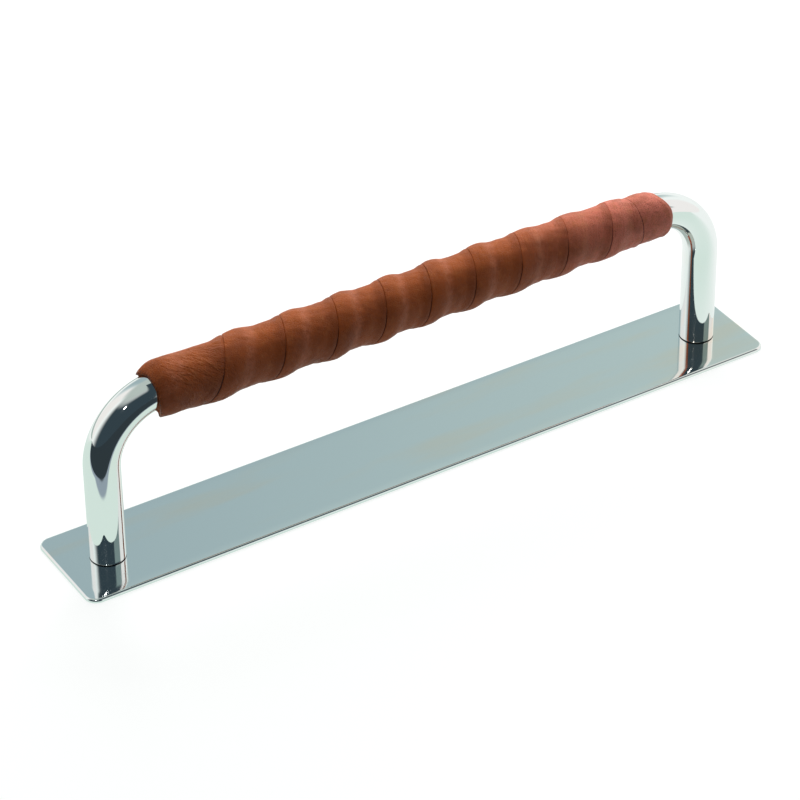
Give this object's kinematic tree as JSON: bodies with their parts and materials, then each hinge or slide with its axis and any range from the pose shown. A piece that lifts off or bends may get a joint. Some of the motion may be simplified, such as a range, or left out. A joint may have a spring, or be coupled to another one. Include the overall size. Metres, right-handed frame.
{
  "type": "leather-wrapped door pull",
  "caption": "D-shaped round bar pull standing on a thin flat backplate, its straight grip wound with an overlapping leather strap.",
  "frame": {"origin": "middle of the plate's back face, which lies on the door", "axes": "+X along the grip to the end where the strap finishes in its square turn, -Y towards the front long edge of the plate, +Z out of the door towards the hand"},
  "size_m": [0.219, 0.0316, 0.0568],
  "materials": {
    "plate_metal": "mirror-polished sheet, faintly grained, with a broken edge",
    "bar_metal": "mirror-polished round bar",
    "strap_leather": "tan vegetable-tanned leather, smooth grain with a soft sheen, skived edges"
  },
  "bodies": {
    "root": {"backplate": "plate_metal", "handle_bar": "bar_metal", "leather_strap": "strap_leather"}
  },
  "joints": []
}
